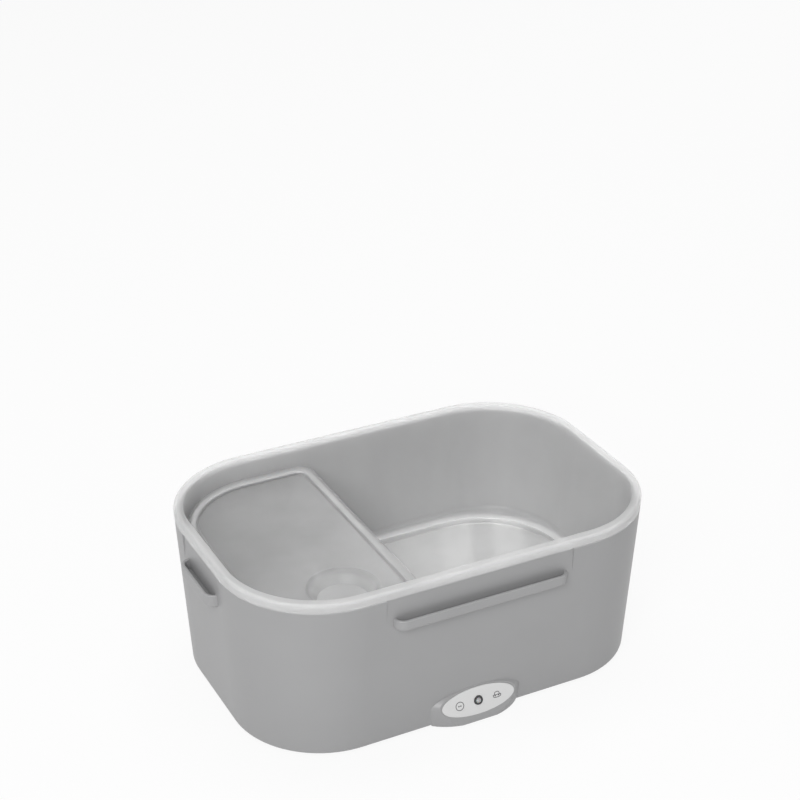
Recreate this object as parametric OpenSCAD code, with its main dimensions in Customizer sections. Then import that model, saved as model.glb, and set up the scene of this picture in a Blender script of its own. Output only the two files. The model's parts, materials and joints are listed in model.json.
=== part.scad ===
// Electric lunch box: a heated housing, a lift-out food container and a lidded side tray.
// Millimetres, +Z up, -Y to the front. The origin is on the floor under the middle.

/* [Housing] */
// Width over the housing's top rim
housing_w = 226; // [200:1:250]
// Depth over the housing's top rim
housing_d = 152; // [135:1:170]
// Height of the housing, from its bottom edge to its rim
housing_h = 84; // [78:1:100]
// Corner radius of the housing at its rim
housing_r = 52; // [44:1:54]
// Wall of the housing
wall = 2.2; // [1.8:0.1:2.8]
// How far each wall leans in from rim to bottom edge
draft = 5; // [3:0.1:5.5]
// Rounding of the bottom edge
edge_r = 2; // [1:0.1:2.1]

/* [Latch catches] */
// Length of the front and back catches
catch_len = 94; // [60:1:110]
// Length of the two end catches
end_catch_len = 38; // [30:1:44]
// How far a catch stands out of its recess
catch_out = 5; // [4:0.1:7]
// Height of the front and back catches
catch_h = 5.8; // [5:0.1:8]
// Height of the end catches
end_catch_h = 7; // [5:0.1:9]
// Distance from the rim down to the top of the front and back catches
catch_drop = 11.4; // [8:0.1:13]
// Distance from the rim down to the top of the end catches
end_catch_drop = 12; // [8:0.1:13]
// Thickness of a catch's lip and floor
lip = 1.6; // [1.2:0.1:2]
// Depth of the flat recess round a catch, at the rim
recess = 0.8; // [0.4:0.1:1.2]
// Flat left beyond each end of a catch
recess_margin = 3.5; // [2:0.1:6]

/* [Indicator] */
// Width of the oval indicator plate
plate_w = 40.2; // [30:0.1:44]
// Height of the oval indicator plate
plate_h = 14; // [10:0.1:15]
// Thickness of the indicator plate
plate_t = 1.2; // [0.8:0.1:1.6]
// Lean of the plate back from upright, in degrees
plate_lean = 16; // [12:0.5:19]
// How far the plate's middle stands out from the wall
plate_out = 2.7; // [2.5:0.1:4]
// Height of the plate's middle above the housing's bottom edge
plate_up = 10.2; // [10:0.1:12]
// Diameter of the light
led_d = 3; // [2:0.1:3.6]

/* [Heating pan] */
// Gap from the housing's wall to each end of the pan
pan_end_gap = 1.4; // [1:0.1:5]
// Gap from the housing's wall to the pan at front and back
pan_front_gap = 3.2; // [1:0.1:6]
// Corner radius of the pan
pan_r = 52; // [40:1:56]
// Width of the pan's flange
flange_w = 4.6; // [3.5:0.1:6]
// Depth of the pan
pan_depth = 3.3; // [2.6:0.1:4]
// Thickness of the pan's sheet
sheet = 0.6; // [0.4:0.1:0.8]
// Height of the pan's flange above the housing's bottom edge
pan_up = 23.3; // [22:0.1:26]
// Distance of each pan screw from the middle
pan_screw_y = 42; // [38:0.5:50]

/* [Electrics] */
// Length of a heater
heater_l = 60; // [40:1:70]
// Width of a heater
heater_w = 18; // [12:1:20]
// Thickness of a heater
heater_t = 5.4; // [4:0.1:6]
// Gap between the two heaters
heater_gap = 4; // [3:0.5:8]
// Distance of each inlet from the middle
inlet_x = 20; // [18:0.5:26]

/* [Food container] */
// Gap from the housing's wall to the container's wall, at the rim
container_gap = 1.2; // [0.8:0.1:1.6]
// Corner radius of the container's wall under its rim
container_r = 48; // [44:1:50]
// How far the container's wall leans in from rim to floor
container_draft = 3; // [2.6:0.1:4]
// Wall of the container
container_wall = 1.6; // [1.2:0.1:2]
// Height of the container's rim
rim_h = 4.5; // [3.5:0.1:5.5]
// Height of the divider ridge above the container's floor
ridge_h = 16; // [10:0.5:22]
// Left foot of the divider ridge
ridge_left = -24; // [-30:0.5:-16]
// Right foot of the divider ridge
ridge_right = 14; // [8:0.5:24]
// Width of the ridge's flat top
ridge_top_w = 9; // [5:0.5:12]

/* [Side tray] */
// Gap from the container's wall to the tray's lid
tray_gap = 0.9; // [0.6:0.1:1.4]
// Height of the tray and its lid together
tray_h = 53; // [44:0.5:58]
// Wall of the tray
tray_wall = 1.4; // [1:0.1:1.8]
// How far the tray's wall leans in from rim to floor
tray_draft = 2.4; // [1.5:0.1:3.5]
// Corner radius on the tray's ridge side
tray_small_r = 8; // [8:0.5:16]
// Height of the lid's skirt
skirt_h = 10; // [8:0.1:12]
// Depth of the lid's sunk panel under its border
panel_drop = 2.4; // [1.8:0.1:3.2]
// Diameter of the lid's round dish, at the panel
dish_d = 36; // [28:0.5:37]
// Diameter of the dish's floor
dish_floor_d = 25; // [16:0.5:26]
// Depth of the dish
dish_depth = 6; // [4:0.1:7]

/* [Bottom] */
// How far the rubber feet stand below the housing
foot_out = 1; // [0.6:0.1:2]
// Diameter of a rubber foot
foot_d = 12; // [9:0.5:15]
// Thickness of the bottom cover
cover_t = 2; // [1.6:0.1:2.6]

/* [Hidden] */
$fn = 96;

// Small clearances
fit = 0.3;        // between pieces that drop into each other
seat = 0.1;       // under a piece that rests on another and lifts off
screw_gap = 0.05; // round a screw in its pilot hole
eps = 0.01;

// Heights of the housing and the pan
base_z = foot_out;
rim_z = base_z + housing_h;
hx = housing_w / 2;
hy = housing_d / 2;
lean = draft / housing_h;                 // how far the wall goes out for each mm up
flange_top = base_z + pan_up;
pan_floor = flange_top - pan_depth;
seal_t = 0.9;
ledge_top = flange_top - sheet - seal_t;  // what the pan's seal lies on
pad_t = 1;
deck_top = pan_floor - sheet - pad_t;
deck_t = 1.8;
deck_low = deck_top - deck_t;
cover_top = base_z + cover_t;

function snap(v) = round(v * 100) / 100;        // outlines are kept to a hundredth, so their arcs meet
function wall_in(z) = snap((rim_z - z) * lean); // how far the outer wall has leaned in at height z
function arc(c, r, a0, a1, n = 8) =
    [for (i = [0:n]) let (a = a0 + (a1 - a0) * i / n) [c[0] + r * cos(a), c[1] + r * sin(a)]];

// The pan's outline
pan_hx = hx - wall_in(flange_top) - wall - pan_end_gap;
pan_hy = hy - wall_in(flange_top) - wall - pan_front_gap;
pan_screw_r = 1.5;
pan_screw_l = 10;
pan_head_r = 4;

// The container's outline is that of its wall under the rim
cont_hx = hx - wall - container_gap;
cont_hy = hy - wall - container_gap;
cont_low = flange_top + 2 * seat;
cont_floor = cont_low + container_wall;
rim_low = rim_z + seat;
rim_top = rim_low + rim_h;
rim_out = wall + container_gap;           // brings the rim's edge over the housing's edge
cont_edge_r = 4;
well_low = pan_floor + seat;              // the container's floor steps down into the pan
well_floor = well_low + container_wall;
well_edge_r = 2.4;
well_in = flange_w + sheet + 0.8;
well_x = pan_hx - well_in;
well_y = pan_hy - well_in;
well_r = pan_r - well_in;
function cont_in(z) = snap((rim_low - z) * container_draft / (rim_low - cont_low));

// The tray's outline is that of its rim's bead, and its lid's skirt goes round it
skirt_t = 1.2;
bead = 0.9;
tray_low = cont_floor + seat;
tray_top = tray_low + tray_h;             // top of the lid
lid_inset = cont_in(tray_top - skirt_h) + container_wall + tray_gap;
tray_x0 = -(cont_hx - lid_inset - skirt_t - fit);
tray_x1 = ridge_left - fit - skirt_t - bead;
tray_hy = cont_hy - lid_inset - skirt_t - fit;
tray_r = container_r - lid_inset - skirt_t - fit;
lid_t = 1.2;
lid_seal_t = 1;
tray_rim = tray_top - lid_t - lid_seal_t - seat;
tray_edge_r = 3.5;
panel_top = tray_top - panel_drop;
panel_in = bead + tray_wall + fit + lid_t; // from the tray's outline in to the edge of the sunk panel
dish_x = tray_x1 - panel_in - dish_d / 2 - 10;
dish_y = -tray_hy + panel_in + dish_d / 2 + 1;

// Electrics
spreader_t = 1.2;
heater_top = pan_floor - sheet - spreader_t;
heater_low = heater_top - heater_t;
heater_y = (heater_w + heater_gap) / 2;
spreader_l = 2 * heater_l;
spreader_w = 2 * heater_w + heater_gap + 6;
clamp_t = 1;
clamp_w = 12;
clamp_post_r = 3.2;
window_gap = 2;                           // between the spreader and the deck's window
clamp_y = spreader_w / 2 + window_gap + clamp_post_r + 3.3;
clamp_screw_r = 1.25;
clamp_head_r = 2.6;
tab_l = 8;
tab_t = 0.8;
tab_z = heater_low + heater_t / 2;
fuse_x = heater_l / 2 + tab_l + 6;
fuse_l = 10;
fuse_r = 1.9;
fuse_wire = 2.5;
lead_r = 1;
fuse_y = heater_y - heater_w / 4 + lead_r + fuse_wire;

// Cover screws
post_r = 3.6;
cover_screw_r = 1.4;
cover_screw_l = 9;
cover_head_r = 2.8;
cover_post_x = hx - housing_r + 22;
cover_post_y = hy - housing_r + 20;
foot_x = cover_post_x - 20;
foot_y = cover_post_y - 2;
foot_sunk = 1;

// Indicator boss: its seat leans back, and its form is an egg cut by the wall
plate_z = base_z + plate_up;
plate_y = hy - wall_in(plate_z) + plate_out;
boss_a = plate_w / 2 + 9.6;
boss_b = 17.25;
boss_deep = 12.3;                         // from the seat's middle back to the egg's middle
boss_low = 29.6;
boss_high = plate_h / 2 + 2.1;
plate_sunk = plate_t - 0.25;
bezel_r = led_d / 2 + 0.75;
led_len = 6;
led_flange = 0.5;
board_t = 1.2;
board_w = 18;
board_h = 7.6;

// Inlets, in a pad on the back wall
inlet_z = base_z + 9.6;
pad_out = 3;
pad_y = hy - wall_in(base_z) + pad_out;
pad_w = 2 * inlet_x + 32;
pad_high = 8.2;                           // half of the pad's height
mains_pin_x = 4.3;
mains_r = 4.6;
mains_round_x = 3.75;
mains_depth = 11;
mains_body = 14;
car_r = 4.6;
car_hole_r = 3;
car_depth = 9;
car_body = 15;

// Sweeps a section round an outline whose left corners have radius rl and right corners rr.
// The section is drawn outward from the outline in x, and upward in y.
module sweep(x0, x1, y1, rl, rr) {
    for (front = [0, 1]) mirror([0, front, 0]) {
        translate([x1 - rr, y1 - rr, 0]) rotate_extrude(angle = 90) translate([rr, 0]) children();
        translate([x0 + rl, y1 - rl, 0]) rotate([0, 0, 90])
            rotate_extrude(angle = 90) translate([rl, 0]) children();
        translate([x0 + rl, y1, 0]) rotate([90, 0, 90]) linear_extrude(x1 - rr - x0 - rl) children();
    }
    translate([x1, y1 - rr, 0]) rotate([90, 0, 0]) linear_extrude(2 * (y1 - rr)) children();
    translate([x0, rl - y1, 0]) rotate([90, 0, 180]) linear_extrude(2 * (y1 - rl)) children();
}

// A flat plate with the same kind of outline, from z0 up to z1
module plate(x0, x1, y1, rl, rr, z0, z1) {
    h = z1 - z0;
    translate([0, 0, z0]) {
        for (front = [0, 1]) mirror([0, front, 0]) {
            translate([x1 - rr, y1 - rr, 0]) rotate_extrude(angle = 90) square([rr, h]);
            translate([x0 + rl, y1 - rl, 0]) rotate([0, 0, 90]) rotate_extrude(angle = 90) square([rl, h]);
        }
        translate([x0 + rl, -y1, 0]) cube([x1 - rr - x0 - rl, 2 * y1, h]);
        translate([x0, rl - y1, 0]) cube([rl, 2 * (y1 - rl), h]);
        translate([x1 - rr, rr - y1, 0]) cube([rr, 2 * (y1 - rr), h]);
    }
}

// The same two for outlines that are alike at both ends
module ring(x1, y1, r) sweep(-x1, x1, y1, r, r) children();
module slab(x1, y1, r, z0, z1) plate(-x1, x1, y1, r, r, z0, z1);

// Places its children at (x, y), (-x, y), (x, -y) and (-x, -y)
module four(x, y) for (sx = [-1, 1], sy = [-1, 1]) translate([sx * x, sy * y, 0]) children();

// Places its children on the boss's seat: z out of the seat, y up along it
module on_seat() translate([0, -plate_y, plate_z]) rotate([90 - plate_lean, 0, 0]) children();

// Places its children on the back pad, with z out of the pad and x to the left seen from the front
module on_back(x) translate([x, pad_y, inlet_z]) rotate([-90, 0, 0]) children();

// Depth and height of the point that lies straight behind the seat's middle by d
function behind_seat(d) = [cos(plate_lean) * d - plate_y, plate_z - sin(plate_lean) * d];

module oval(a, b, h) scale([a, b, 1]) cylinder(r = 1, h = h);

// Screw with a domed head that sits at z = 0 and a shank that goes down
module dome_screw(head_r, head_h, r, len) {
    ball = (head_r * head_r + head_h * head_h) / (2 * head_h);
    difference() {
        union() {
            intersection() {
                translate([0, 0, head_h - ball]) sphere(r = ball);
                cylinder(r = head_r + 1, h = head_h + 1);
            }
            translate([0, 0, -len]) cylinder(r = r, h = len + eps);
        }
        for (turn = [0, 90]) rotate([0, 0, turn])
            translate([-head_r * 0.45, -0.45, head_h * 0.35]) cube([head_r * 0.9, 0.9, head_h]);
    }
}

// One housing wall section: leans out to the rim, with a rounded foot and a rounded rim
module housing_section() {
    low = -draft;
    soft = 0.7;
    polygon(concat(
        [[low - wall - 0.4, base_z]],
        arc([low - edge_r, base_z + edge_r], edge_r, -90, 0),
        arc([-soft, rim_z - soft], soft, 0, 90, 5),
        arc([soft - wall, rim_z - soft], soft, 90, 180, 5),
        [[low - wall - 0.4, base_z + edge_r + 2]]));
}

// Catch for a latch hook: a lip along a floor, both turning in to the wall at the ends
module catch_section(out, h, back) {
    round_r = 1.8;
    polygon(concat(
        [[back, 0]],
        arc([out - round_r, round_r], round_r, -90, 0, 6),
        arc([out - 0.5, h - 0.5], 0.5, 0, 90, 4),
        [[out - lip + 0.3, h], [out - lip, h - 0.3], [out - lip, lip + 0.4], [back, lip + 0.4]]));
}

module catch(len, out, h) {
    straight = len / 2 - out;
    translate([-straight, 0, 0]) rotate([90, 0, 90]) linear_extrude(2 * straight) catch_section(out, h, -1);
    translate([straight, 0, 0]) rotate_extrude(angle = 90) catch_section(out, h, 0);
    translate([-straight, 0, 0]) rotate([0, 0, 90]) rotate_extrude(angle = 90) catch_section(out, h, 0);
}

// Faces of the recesses that the catches stand in
flat_y = hy - recess;
flat_x = hx - recess;
bite = 0.7;       // how deep a catch is rooted in the wall

module catches() {
    for (turn = [0, 180]) rotate([0, 0, turn])
        translate([0, flat_y - bite, rim_z - catch_drop - catch_h]) catch(catch_len, catch_out + bite, catch_h);
    for (turn = [90, -90]) rotate([0, 0, turn])
        translate([0, flat_x - bite, rim_z - end_catch_drop - end_catch_h])
            catch(end_catch_len, catch_out + bite, end_catch_h);
}

module catch_recesses() {
    tall = recess / lean + 1;
    for (turn = [0, 180]) rotate([0, 0, turn])
        translate([-catch_len / 2 - recess_margin, flat_y, rim_z - tall])
            cube([catch_len + 2 * recess_margin, 10, tall + 1]);
    for (turn = [90, -90]) rotate([0, 0, turn])
        translate([-end_catch_len / 2 - recess_margin, flat_x, rim_z - tall])
            cube([end_catch_len + 2 * recess_margin, 10, tall + 1]);
}

// Egg-shaped boss: flatter below its middle than above, with the seat cut across its front
module boss() {
    inside = hy - wall_in(plate_z) - wall / 2;
    difference() {
        translate([0, boss_deep - plate_y, plate_z]) union() {
            intersection() {
                scale([boss_a, boss_b, boss_low]) sphere(r = 1);
                translate([-50, -50, -50]) cube([100, 100, 50]);
            }
            intersection() {
                scale([boss_a, boss_b, boss_high]) sphere(r = 1);
                translate([-50, -50, 0]) cube([100, 100, 50]);
            }
        }
        translate([-60, -inside, -20]) cube([120, 60, 100]);
        translate([-60, -hy - 40, base_z - 50]) cube([120, 100, 50]);
        on_seat() translate([-60, -60, 0]) cube([120, 120, 40]);
    }
}

module back_pad() {
    deep = pad_y - (hy - wall_in(base_z)) + wall;
    translate([0, pad_y, inlet_z]) rotate([90, 0, 0]) {
        translate([-pad_w / 2 + 3, -pad_high, 0]) cube([pad_w - 6, 2 * pad_high, deep]);
        translate([-pad_w / 2, -pad_high + 3, 0]) cube([pad_w, 2 * pad_high - 6, deep]);
        four(pad_w / 2 - 3, pad_high - 3) cylinder(r = 3, h = deep);
    }
}

module mains_hole(grow, h) {
    for (side = [-1, 1]) translate([side * mains_round_x, 0, 0]) cylinder(r = mains_r + grow, h = h);
    translate([-mains_round_x, -mains_r * 0.86 - grow, 0]) cube([2 * mains_round_x, 1.72 * mains_r + 2 * grow, h]);
}

module outer_housing() color("darkgray") {
    post_low = cover_top + seat;
    deck_x = hx - wall_in(deck_low) - wall / 2;
    deck_y = hy - wall_in(deck_low) - wall / 2;
    deck_r = housing_r - wall_in(deck_low) - wall / 2;
    hole_x = pan_hx - flange_w + fit;
    hole_y = pan_hy - flange_w + fit;
    hole_r = pan_r - flange_w + fit;
    difference() {
        union() {
            ring(hx, hy, housing_r) housing_section();
            difference() {
                slab(deck_x, deck_y, deck_r, deck_low, ledge_top);
                slab(hole_x, hole_y, hole_r, deck_top, ledge_top + 1);
            }
            four(cover_post_x, cover_post_y)
                translate([0, 0, post_low]) cylinder(r = post_r, h = deck_low - post_low + eps);
            for (side = [-1, 1]) {
                translate([0, side * pan_screw_y, deck_low - 8]) cylinder(r = post_r, h = 8 + eps);
                translate([0, side * clamp_y, heater_low]) cylinder(r = clamp_post_r, h = deck_low - heater_low + eps);
            }
            boss();
            back_pad();
            catches();
        }
        catch_recess_cut();
        // heater window in the deck
        translate([-spreader_l / 2 - window_gap, -spreader_w / 2 - window_gap, deck_low - 1])
            cube([spreader_l + 2 * window_gap, spreader_w + 2 * window_gap, deck_t + 2]);
        four(cover_post_x, cover_post_y) translate([0, 0, post_low - 1])
            cylinder(r = cover_screw_r + screw_gap, h = 11);
        for (side = [-1, 1]) {
            translate([0, side * pan_screw_y, deck_low - 7]) cylinder(r = pan_screw_r + screw_gap, h = 20);
            translate([0, side * clamp_y, heater_low - 1])
                cylinder(r = clamp_screw_r + screw_gap, h = 1 + deck_low - heater_low);
        }
        // behind the boss: a pocket for the light and its board
        on_seat() {
            translate([0, 0, -plate_sunk]) oval(plate_w / 2 + fit / 2, plate_h / 2 + fit / 2, 3);
            translate([0, 0, -12]) cylinder(r = led_d / 2 + 0.8 + fit / 2, h = 12);
        }
        translate([-board_w / 2 - 1, board_pocket_y, cover_top]) cube([board_w + 2, 20, deck_low - cover_top]);
        on_back(inlet_x) translate([0, 0, -10]) mains_hole(1 + fit / 2, 12);
        on_back(-inlet_x) translate([0, 0, -10]) cylinder(r = car_r + fit / 2, h = 12);
        translate([-pad_w / 2 + wall, hy - wall_in(base_z) - 12, inlet_z - pad_high + wall])
            cube([pad_w - 2 * wall, 12 + pad_out - wall, deck_low - inlet_z + pad_high - wall]);
    }
}

board_pocket_y = -plate_y + 4;

// The recesses are cut in the wall only, so the catches keep their roots
module catch_recess_cut() difference() {
    catch_recesses();
    catches();
}

module bottom_cover() color("dimgray") {
    x = hx - draft - wall - 0.4 - fit;
    y = hy - draft - wall - 0.4 - fit;
    r = housing_r - draft - wall - 0.4 - fit;
    difference() {
        slab(x, y, r, base_z, cover_top);
        four(cover_post_x, cover_post_y) {
            translate([0, 0, base_z - 1]) cylinder(r = cover_screw_r + 0.3, h = 10);
            translate([0, 0, base_z - 1]) cylinder(r = cover_head_r + 0.4, h = 1 + cover_t * 0.6);
        }
        four(foot_x, foot_y) translate([0, 0, base_z - 1]) cylinder(r = foot_d / 2 + 0.1, h = 1 + foot_sunk);
        for (side = [-1, 1], i = [-3:3]) translate([side * 34 - 11, i * 6 - 1.25, base_z - 1])
            cube([22, 2.5, cover_t + 2]);
    }
}

module cover_screws() color("silver") four(cover_post_x, cover_post_y)
    translate([0, 0, base_z + cover_t * 0.6]) mirror([0, 0, 1]) dome_screw(cover_head_r, 1.1, cover_screw_r, cover_screw_l);

module rubber_feet() color("black") four(foot_x, foot_y) cylinder(r = foot_d / 2, h = foot_out + foot_sunk);

module heating_pan() color("gainsboro") difference() {
    union() {
        sweep(-pan_hx, pan_hx, pan_hy, pan_r, pan_r) pan_section();
        slab(pan_hx - flange_w - 2, pan_hy - flange_w - 2, pan_r - flange_w - 2, pan_floor - sheet, pan_floor);
    }
    for (side = [-1, 1]) translate([0, side * pan_screw_y, pan_floor - 2]) cylinder(r = pan_screw_r + 0.3, h = 4);
}

// The pan's flange with its rolled edge, its short wall and the start of its floor
module pan_section() {
    bend = 1.4;
    polygon(concat(
        [[-flange_w - 2.5, pan_floor - sheet]],
        arc([-flange_w - bend, pan_floor - sheet + bend], bend, -90, 0, 5),
        [[-flange_w, flange_top - sheet], [-0.3, flange_top - sheet]],
        arc([-0.3, flange_top - 0.3], 0.3, -90, 90, 4),
        arc([-flange_w + 0.4, flange_top - 0.8], 0.8, 90, 150, 3),
        [[-flange_w - sheet, flange_top - 1.4], [-flange_w - sheet, pan_floor + bend - sheet]],
        arc([-flange_w - bend, pan_floor - sheet + bend], bend - sheet, 0, -90, 5),
        [[-flange_w - 2.5, pan_floor]]));
}

module pan_seal() color("dimgray") sweep(-pan_hx, pan_hx, pan_hy, pan_r, pan_r)
    translate([-flange_w + 1, ledge_top]) square([flange_w - 1.6, seal_t]);

module pan_screws() color("silver") for (side = [-1, 1])
    translate([0, side * pan_screw_y, pan_floor]) dome_screw(pan_head_r, 2.2, pan_screw_r, pan_screw_l);

module insulation_pad() color("white") difference() {
    slab(pan_hx - flange_w - 4, pan_hy - flange_w - 4, pan_r - flange_w - 4, deck_top, pan_floor - sheet);
    translate([-spreader_l / 2 - 1, -spreader_w / 2 - 1, deck_top - 1]) cube([spreader_l + 2, spreader_w + 2, 4]);
    for (side = [-1, 1]) translate([0, side * pan_screw_y, deck_top - 1]) cylinder(r = pan_screw_r + 0.3, h = 4);
}

module heat_spreader() color("silver")
    translate([-spreader_l / 2, -spreader_w / 2, heater_top]) cube([spreader_l, spreader_w, spreader_t]);

// Flat heater in its metal case, with crimped ends and two terminal tabs at the right
module heater() {
    translate([-heater_l / 2, -heater_w / 2, heater_low]) cube([heater_l, heater_w, heater_t]);
    for (side = [-1, 1]) translate([heater_l / 2 - eps, side * heater_w / 4 - 2, tab_z - tab_t / 2])
        cube([tab_l, 4, tab_t]);
}

module mains_heater() color("lightgray") translate([0, heater_y, 0]) heater();
module car_heater() color("lightgray") translate([0, -heater_y, 0]) mirror([1, 0, 0]) heater();

// Spring strip over both heaters, screwed to a post at each end
module heater_clamp() color("silver") difference() {
    union() {
        translate([-clamp_w / 2, -clamp_y, heater_low - clamp_t]) cube([clamp_w, 2 * clamp_y, clamp_t]);
        for (side = [-1, 1]) translate([0, side * clamp_y, heater_low - clamp_t]) cylinder(r = clamp_w / 2, h = clamp_t);
    }
    for (side = [-1, 1]) translate([0, side * clamp_y, heater_low - 2]) cylinder(r = clamp_screw_r + 0.3, h = 3);
}

module clamp_screws() color("silver") for (side = [-1, 1])
    translate([0, side * clamp_y, heater_low - clamp_t]) mirror([0, 0, 1])
        dome_screw(clamp_head_r, 1.4, clamp_screw_r, clamp_t + deck_low - heater_low - 0.6);

// Thermal fuse against the spreader, in the run to the mains heater
module thermal_fuse() color("ivory") translate([fuse_x, fuse_y, heater_top - fuse_r]) rotate([-90, 0, 0]) {
    cylinder(r = fuse_r, h = fuse_l);
    translate([0, 0, -fuse_wire]) cylinder(r = 0.5, h = fuse_l + 2 * fuse_wire);
}

module mains_inlet() color("black") on_back(inlet_x) difference() {
    union() {
        translate([0, 0, -mains_body]) mains_hole(1, mains_body);
        mains_hole(2.6, 1.6);
    }
    translate([0, 0, 1.6 - mains_depth]) mains_hole(0, mains_depth + 1);
    for (side = [-1, 1]) translate([side * mains_pin_x, 0, -mains_body - 1]) cylinder(r = 1.2 + screw_gap, h = mains_body);
}

module mains_pins() color("silver") on_back(inlet_x) for (side = [-1, 1]) translate([side * mains_pin_x, 0, 0]) {
    translate([0, 0, -mains_body - 3]) cylinder(r = 1.2, h = mains_body + 2.2);
    translate([0, 0, -0.8 - eps]) cylinder(r1 = 1.2, r2 = 0.7, h = 0.8);
}

module car_inlet() color("black") on_back(-inlet_x) difference() {
    union() {
        translate([0, 0, -car_body]) cylinder(r = car_r, h = car_body);
        cylinder(r = car_r + 1.8, h = 1.6);
    }
    translate([0, 0, 1.6 - car_depth]) cylinder(r = car_hole_r, h = car_depth + 1);
    translate([0, 0, -car_body - 1]) cylinder(r = 1.05 + screw_gap, h = car_body);
}

module car_pin() color("silver") on_back(-inlet_x) {
    translate([0, 0, -car_body - 3]) cylinder(r = 1.05, h = car_body + 3.4);
}

module car_inlet_nut() color("silver") on_back(-inlet_x) translate([0, 0, -wall - 3]) difference() {
    cylinder(r = car_r + 2.2, h = 2.4, $fn = 6);
    translate([0, 0, -1]) cylinder(r = car_r + screw_gap, h = 5);
}

module indicator_plate() color("whitesmoke") on_seat() difference() {
    translate([0, 0, -plate_sunk]) oval(plate_w / 2, plate_h / 2, plate_t);
    translate([0, 0, -5]) cylinder(r = led_d / 2 + 0.8 + fit / 2, h = 10);
}

module led_bezel() color("black") on_seat() difference() {
    union() {
        translate([0, 0, plate_t - plate_sunk]) cylinder(r = bezel_r, h = 0.5);
        translate([0, 0, -4]) cylinder(r = led_d / 2 + 0.8, h = 4 + plate_t - plate_sunk + eps);
    }
    translate([0, 0, -6]) cylinder(r = led_d / 2 + screw_gap, h = 12);
}

module indicator_led() color("lightgray") on_seat() {
    translate([0, 0, -led_len]) cylinder(r = led_d / 2, h = led_len);
    intersection() {
        sphere(r = led_d / 2);
        cylinder(r = led_d, h = led_d);
    }
    translate([0, 0, -led_len]) cylinder(r = led_d / 2 + 0.4, h = 1);
}

module led_board() color("darkgreen") on_seat()
    translate([-board_w / 2, -board_h / 2, -led_len - board_t]) cube([board_w, board_h, board_t]);

// A lead runs through its points, with a small round knuckle at each bend
module lead(points, r) {
    for (i = [0:len(points) - 2]) {
        run = points[i + 1] - points[i];
        reach = norm(run);
        translate(points[i]) rotate([0, acos(run[2] / reach), atan2(run[1], run[0])]) cylinder(r = r, h = reach);
    }
    for (i = [1:len(points) - 2]) translate(points[i]) sphere(r = r * 1.2);
}

lead_z = cover_top + 2.4;   // height of the leads along the bottom cover
lead_end = tab_z - tab_t / 2;

// From the two mains pins: one to a heater tab, the other to the fuse and on to the second tab
module mains_leads() color("brown") {
    back = pad_y - mains_body - 3;
    near = inlet_x - mains_pin_x;
    far = inlet_x + mains_pin_x;
    tab_x = heater_l / 2 + 6;
    tab_end = heater_l / 2 + tab_l;
    tab_y = heater_w / 4;
    fuse_z = heater_top - fuse_r;
    wire_end = fuse_y + fuse_l + fuse_wire;
    lead([[near, back, inlet_z], [near, back - 3, inlet_z], [near, back - 7, lead_z],
          [tab_x, heater_y + tab_y, lead_z], [tab_x, heater_y + tab_y, lead_end]], lead_r);
    lead([[far, back, inlet_z], [far, back - 3, inlet_z], [far, back - 7, lead_z],
          [fuse_x, wire_end + lead_r, lead_z], [fuse_x, wire_end + lead_r, fuse_z + lead_r]], lead_r);
    lead([[tab_end, heater_y - tab_y, tab_z], [fuse_x + lead_r, heater_y - tab_y, tab_z]], lead_r);
}

module car_leads() color("firebrick") {
    back = pad_y - car_body;
    for (side = [-1, 1]) {
        x = -inlet_x - side * 2.6;
        tab_x = -heater_l / 2 - 6;
        tab_y = -heater_y + side * heater_w / 4;
        lead([[x, back, inlet_z], [x, back - 3, inlet_z], [x, back - 7, lead_z],
              [tab_x, tab_y, lead_z], [tab_x, tab_y, lead_end]], lead_r);
    }
}

// From the light's board to the mains heater's tabs
module led_leads() color("gray") {
    start = behind_seat(led_len + board_t + screw_gap);
    bend = behind_seat(led_len + board_t + 3.5);
    high = lead_z + 2.4;
    tab_x = heater_l / 2 + 2.5;
    for (side = [-1, 1]) {
        x = 6 - 2 * side;
        tab_y = heater_y + side * heater_w / 4;
        lead([concat(x, start), concat(x, bend), [x, bend[0] + 4, high], [tab_x, tab_y, high],
              [tab_x, tab_y, lead_end]], lead_r * 0.8);
    }
}

module food_container() color("white", 0.6) {
    edge = [-container_draft - cont_edge_r, cont_low + cont_edge_r];
    under = rim_top - container_wall;
    difference() {
        union() {
            ring(cont_hx, cont_hy, container_r) polygon(concat(
                [[edge[0] - 1, cont_low]],
                arc(edge, cont_edge_r, -90, 0),
                [[0, rim_low], [0, under], [rim_out - 1.5, under], [rim_out - 1.5, rim_low], [rim_out, rim_low]],
                arc([rim_out - 1.6, rim_top - 1.6], 1.6, 0, 90),
                arc([0.8 - container_wall, rim_top - 0.8], 0.8, 90, 180, 4),
                arc(edge, cont_edge_r - container_wall, 0, -90),
                [[edge[0] - 1, cont_floor]]));
            difference() {
                slab(cont_hx + edge[0], cont_hy + edge[0], container_r + edge[0], cont_low, cont_floor);
                well(container_wall / 2, cont_low - 1, cont_floor + 1);
            }
            ring(well_x, well_y, well_r) polygon(concat(
                [[-well_edge_r - 1, well_low]],
                arc([-well_edge_r, well_low + well_edge_r], well_edge_r, -90, 0),
                [[0, cont_floor], [-container_wall, cont_floor]],
                arc([-well_edge_r, well_low + well_edge_r], well_edge_r - container_wall, 0, -90),
                [[-well_edge_r - 1, well_floor]]));
            well(well_edge_r, well_low, well_floor);
            intersection() {
                ridge(0, well_low);
                union() {
                    ridge_room(container_wall / 2, cont_low);
                    well(well_edge_r, well_low, cont_floor);
                }
            }
        }
        intersection() {
            ridge(container_wall, well_low - 1);
            union() {
                ridge_room(2 * container_wall, cont_low - 1);
                well(well_edge_r + 1, well_low - 1, cont_floor);
            }
        }
    }
}

// The room of the stepped floor, inset from its outside
module well(inset, z0, z1) slab(well_x - inset, well_y - inset, well_r - inset, z0, z1);

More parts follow.
